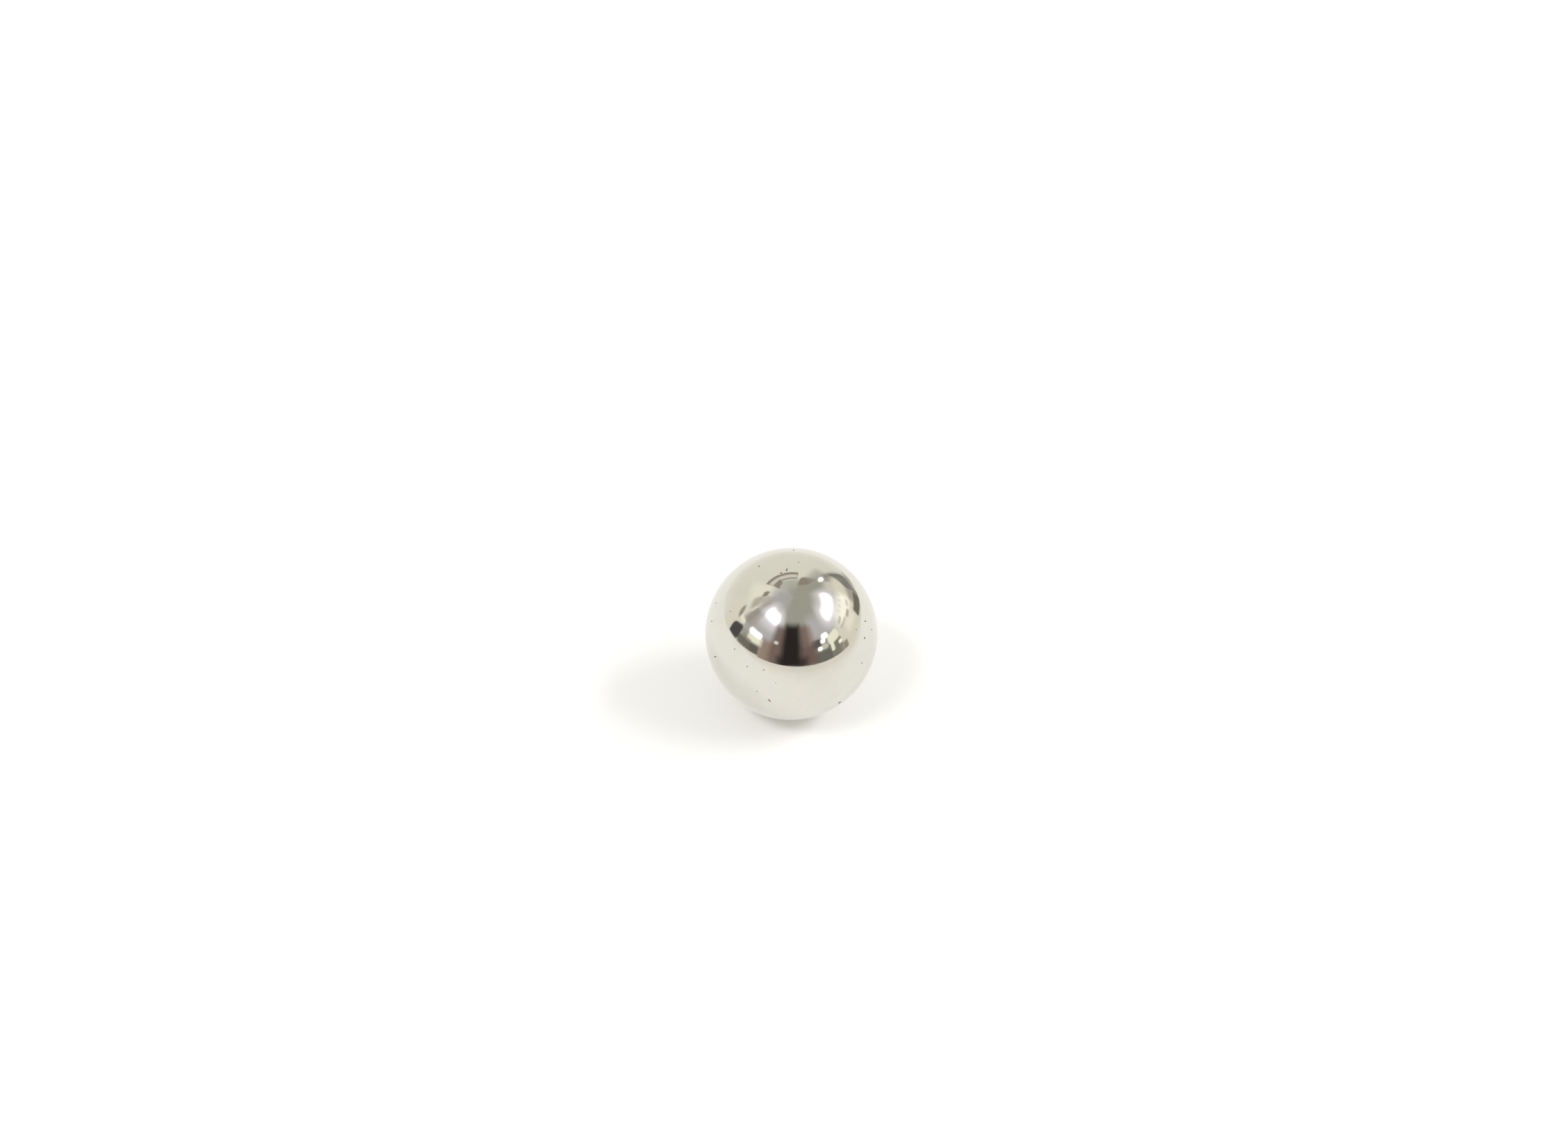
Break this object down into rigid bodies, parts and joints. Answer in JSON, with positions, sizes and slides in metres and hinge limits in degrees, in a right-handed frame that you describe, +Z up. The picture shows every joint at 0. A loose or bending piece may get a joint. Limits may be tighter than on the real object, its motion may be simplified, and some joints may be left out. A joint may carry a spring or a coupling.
{
  "type": "steel ball",
  "caption": "Solid polished steel ball, a plain sphere that rolls, locates or carries load in a cup, cone or groove.",
  "frame": {"origin": "centre of the ball", "axes": "+Z up; the ball is the same about every axis, and its lowest point faces -Z"},
  "size_m": [0.0126, 0.0126, 0.0126],
  "materials": {
    "steel": "polished"
  },
  "bodies": {
    "root": {"ball": "steel"}
  },
  "joints": []
}
